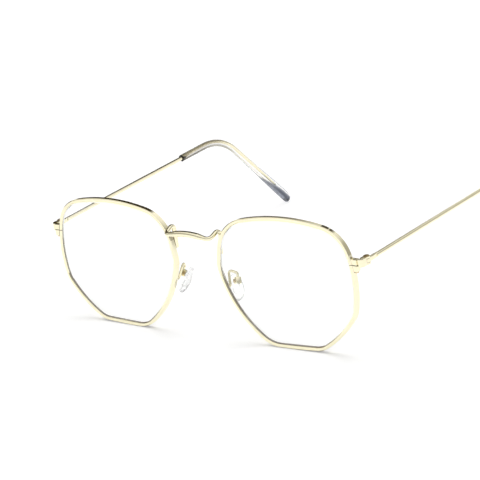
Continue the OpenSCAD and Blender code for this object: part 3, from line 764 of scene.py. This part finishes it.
def soften(node, name, width, finish):
    piece = node.copy()
    piece.data = node.data.copy()
    for key in [k for k in piece.keys() if k.startswith("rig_")]:
        del piece[key]
    piece.parent = None
    piece.name = piece.data.name = name
    bpy.context.scene.collection.objects.link(piece)
    alone(piece)
    bpy.ops.object.mode_set(mode="EDIT")
    bpy.ops.mesh.select_all(action="SELECT")
    bpy.ops.mesh.remove_doubles(threshold=SAME_POINT)
    bpy.ops.mesh.dissolve_limited(angle_limit=FLAT)
    bpy.ops.object.mode_set(mode="OBJECT")
    finish_by(piece, "BEVEL", width=width, segments=2, limit_method="ANGLE", angle_limit=SHARP)
    alone(piece)
    bpy.ops.object.shade_smooth_by_angle(angle=ROUNDED)
    piece.data.materials.clear()
    piece.data.materials.append(finish)
    return piece


for side in SIDES:
    for part, width in SOFTENED.items():
        node = nodes[f"{side}_{part}"]
        slot, finish = FINISH.get(part, ("gold_wire", gold))
        piece = soften(node, f"{side}_{part}_soft", width, finish)
        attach(piece, node["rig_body"])
        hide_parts(node.name)
print("softened parts:", len(SIDES) * len(SOFTENED))

# %% [markdown]
# ## The rims, the bridge and the pad arms
# These are bent and swept wires, whose rounded sections the CAD model already holds. They
# could be copied and softened like the small parts, but nothing would be gained, so they
# stay as they are and only get their gold.

# %% Give the CAD nodes that stay their gold
kept = [name for name, node in nodes.items() if not node.hide_render]
for name in kept:
    nodes[name].data.materials.clear()
    nodes[name].data.materials.append(gold)
print("CAD nodes that stay:", kept)

# %% [markdown]
# ## The studio
# Polished metal shows the room around it, so the room is drawn with care. The glasses stand
# on a white sweep. Just above its far edge the room is grey, and between 25 and 50 degrees
# up it turns white again. That band draws soft lines along the upper sides of the wires. A
# photograph of a room could do this too, but a ramp over the height is easier to tune. Only
# mirrors and clear pieces see it: the camera sees pure white, and the light that falls on the
# glasses stays even.

# %% The room as metal and glass see it
ROOM_LIGHT = (0.30, 0.30, 0.30)
WHITE = (1, 1, 1)
ROOM_BANDS = [(0.0, WHITE), (0.5, (0.70, 0.69, 0.67)), (0.53, (0.40, 0.39, 0.365)),
              (0.71, (0.46, 0.45, 0.42)), (0.79, (0.78, 0.78, 0.76)), (0.88, WHITE)]
world = bpy.data.worlds.new("studio_room")
bpy.context.scene.world = world
world.use_nodes = True
net = Net(world.node_tree)
path = net.add("ShaderNodeLightPath")
for_camera = net.value(path, "Is Camera Ray")
for_mirrors = (net.value(path, "Is Glossy Ray") + net.value(path, "Is Transmission Ray")).limited()

direction = net.value(net.add("ShaderNodeTexCoord"), "Generated")
height = net.value(net.add("ShaderNodeSeparateXYZ", None, Vector=direction), 2)
bands = net.add("ShaderNodeValToRGB", {"stops": ROOM_BANDS}, Fac=height * 0.5 + 0.5)
lit = mix_colour(net, for_mirrors, ROOM_LIGHT, net.value(bands))
sky = net.add("ShaderNodeBackground", None, Color=mix_colour(net, for_camera, lit, WHITE))
output(net, sky, "ShaderNodeOutputWorld")
print("room bands:", len(ROOM_BANDS))

# %% [markdown]
# ## The floor
# The sweep is pure white to the eye and to mirrors, and it still has to catch the shadows
# where the rims and tips touch it. White paint alone would need more light than the gold can
# bear. So a part of its white is its own glow, which a shadow can't dim, and the rest is paint
# that the lamps light. Far from the lamps the paint darkens, and for the camera more glow
# makes up for it, so that the sweep ends in white from every side.

# %% White sweep
FLOOR_SIZE, FLOOR_PAINT, FLOOR_GLOW = 8, (0.82, 0.82, 0.82), 0.30
FAR_FROM, FAR_TO, FAR_GLOW = 0.25, 1.1, 0.75
bpy.ops.object.select_all(action="DESELECT")
bpy.ops.mesh.primitive_plane_add(size=FLOOR_SIZE, location=(0, 0, 0))
floor = bpy.context.object
floor.name = "floor"
floor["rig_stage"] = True
floor_paint, net = material("white_sweep")
floor.data.materials.append(floor_paint)
path = net.add("ShaderNodeLightPath")
for_camera = net.value(path, "Is Camera Ray")
for_mirrors = net.value(path, "Is Glossy Ray") + net.value(path, "Is Transmission Ray")
for_eye = (for_camera + for_mirrors).limited()
length = net.add("ShaderNodeVectorMath", {"operation": "LENGTH"}, i0=object_place(net))
far_glow = for_camera * eased(net.value(length, "Value"), FAR_FROM, FAR_TO, 0.0, FAR_GLOW)
paint = net.add("ShaderNodeBsdfDiffuse", None, Color=FLOOR_PAINT)
glow = net.add("ShaderNodeEmission", None, Color=WHITE, Strength=for_eye * FLOOR_GLOW + far_glow)
output(net, net.add("ShaderNodeAddShader", None, i0=net.value(paint), i1=net.value(glow)))
print("floor:", FLOOR_SIZE, "m wide")

# %% [markdown]
# ## Cards around the glasses
# A photographer shapes what bright metal mirrors with black and white cards that hang just
# outside the picture. Painting the lines on the metal would be quicker, but they would
# stay put when the glasses move. A card here is a plane with a glow of its own colour, and
# neither the camera nor the lamps see it.

# %% Helper for cards
def hang_card(name, corners, colour, cover=None, seen_in_glass=False):
    """Hangs a card that only reflections see; cover says how solid it is from place to place."""
    bpy.ops.object.select_all(action="DESELECT")
    bpy.ops.mesh.primitive_plane_add(size=1, location=(0, 0, 0))
    card = bpy.context.object
    card.name = name
    for point, corner in zip(card.data.vertices, corners):
        point.co = corner
    card.visible_camera = card.visible_diffuse = card.visible_shadow = False
    card.visible_transmission = seen_in_glass
    card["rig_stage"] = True
    paper, net = material(name)
    card.data.materials.append(paper)
    shader = net.add("ShaderNodeEmission", None, Color=colour, Strength=1.0)
    if cover:
        empty = net.add("ShaderNodeBsdfTransparent")
        shader = net.add("ShaderNodeMixShader", None, Fac=cover(net), i1=net.value(empty),
                         i2=net.value(shader))
    output(net, shader)
    print(name, "corners:", [tuple(round(c, 3) for c in corner) for corner in corners])


print("card helper ready")

# %% [markdown]
# ## The black card
# Black gives bright metal its outline. A darker room would do it too, but it would darken
# every wire alike. This card hangs close behind the glasses, on the picture's left, so the
# temple on that side and the tops of the rims mirror it, and the parts on the picture's right
# look past it. Its right edge leans outwards and fades, because a hard edge would show in the
# metal as the sudden end of a line.

# %% Black card behind the left side
CARD_BEHIND, CARD_TOP, CARD_BOTTOM, CARD_LEFT = 0.17, 0.70, 0.05, -0.32
EDGE_AT_FLOOR, EDGE_LEAN, CARD_FADE = -0.058, 0.36, 0.03
CARD_BLACK = (0.045, 0.034, 0.018)
ahead = Vector((-math.sin(AZIMUTH), math.cos(AZIMUTH), 0))


def on_card(across, up):
    return ahead * CARD_BEHIND + level * across + Vector((0, 0, up))


def behind_leaning_edge(net):
    dot = net.add("ShaderNodeVectorMath", {"operation": "DOT_PRODUCT"}, i0=object_place(net),
                  i1=tuple(level))
    up = axes(net)[2]
    return eased(up * EDGE_LEAN + EDGE_AT_FLOOR - net.value(dot, "Value"), -CARD_FADE, CARD_FADE)


hang_card("black_card",
          [on_card(across, up) for up in (CARD_BOTTOM, CARD_TOP)
           for across in (CARD_LEFT, EDGE_AT_FLOOR + EDGE_LEAN * up + CARD_FADE)],
          CARD_BLACK, behind_leaning_edge, seen_in_glass=True)

# %% [markdown]
# ## The high card
# The temples run away from the camera, so their wires mirror another part of the room: what
# hangs high and far behind them. The first card could be made wider to reach there, but the
# parts on the picture's right would then mirror it as well. So a second card hangs there, and
# makes the dark line on the picture's left temple as wide as a third of the wire.

# %% High card behind the temples
HIGH_Y, HIGH_X, HIGH_Z, HIGH_SHARE = 0.45, (-0.22, 0.14), (0.36, 0.60), 0.95
FADE_X, FADE_Z = 0.02, 0.49    # from here on it fades, out to its right and its upper edge


def inside_soft_corner(net):
    x, _, z = axes(net)
    return eased(z, HIGH_Z[1], FADE_Z) * eased(x, HIGH_X[1], FADE_X) * HIGH_SHARE


hang_card("high_card", [(x, HIGH_Y, z) for z in HIGH_Z for x in HIGH_X], CARD_BLACK,
          inside_soft_corner)

# %% [markdown]
# ## The white card
# A white card between the temples does the opposite. The inner side of the temple on the
# picture's left mirrors it and stays bright, and the other temple, which is in front of it,
# doesn't. A lamp there would brighten the metal as well, but it would also light the floor
# and wash out the shadows under the rims.

# %% White card between the temples
WHITE_X, WHITE_Y, WHITE_Z = 0.035, (0.03, 0.30), (0.03, 0.15)
CARD_WHITE = (0.95, 0.95, 0.95)
hang_card("white_card", [(WHITE_X, y, z) for z in WHITE_Z for y in WHITE_Y], CARD_WHITE)

# %% [markdown]
# ## The lamps
# The shadows in the picture are thin lines under the rims, so the main lamp is a wide softbox
# straight above, and a weaker one fills in from the front. A sun or a small lamp would draw
# long, hard shadows. Mirrors don't see the lamps, because their square shapes would show in
# the gold.

# %% Softboxes
MIDDLE_OF_GLASSES = Vector((0, 0, 0.02))


def softbox(name, place, size, power):
    data = bpy.data.lights.new(name, "AREA")
    data.shape, data.size, data.energy = "SQUARE", size, power
    lamp = bpy.data.objects.new(name, data)
    bpy.context.scene.collection.objects.link(lamp)
    lamp.rotation_mode = "QUATERNION"
    lamp.location = place
    lamp.rotation_quaternion = (Vector(place) - MIDDLE_OF_GLASSES).to_track_quat("Z", "Y")
    lamp.visible_glossy = lamp.visible_transmission = False
    print(name, "power in W:", power)


softbox("top_softbox", (-0.06, 0.06, 1.15), size=0.90, power=8.6)
softbox("front_softbox", (0.5, -1.0, 0.8), size=0.8, power=4)

# %% [markdown]
# ## The size
# The finished model has to stay inside the CAD model's box, or it wouldn't fit where the CAD
# part does. Its box is printed here, in the same form as the CAD box at the start.

# %% Print the finished model's box
low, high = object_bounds()
print("visual box in mm:", in_mm((*low, *high)))
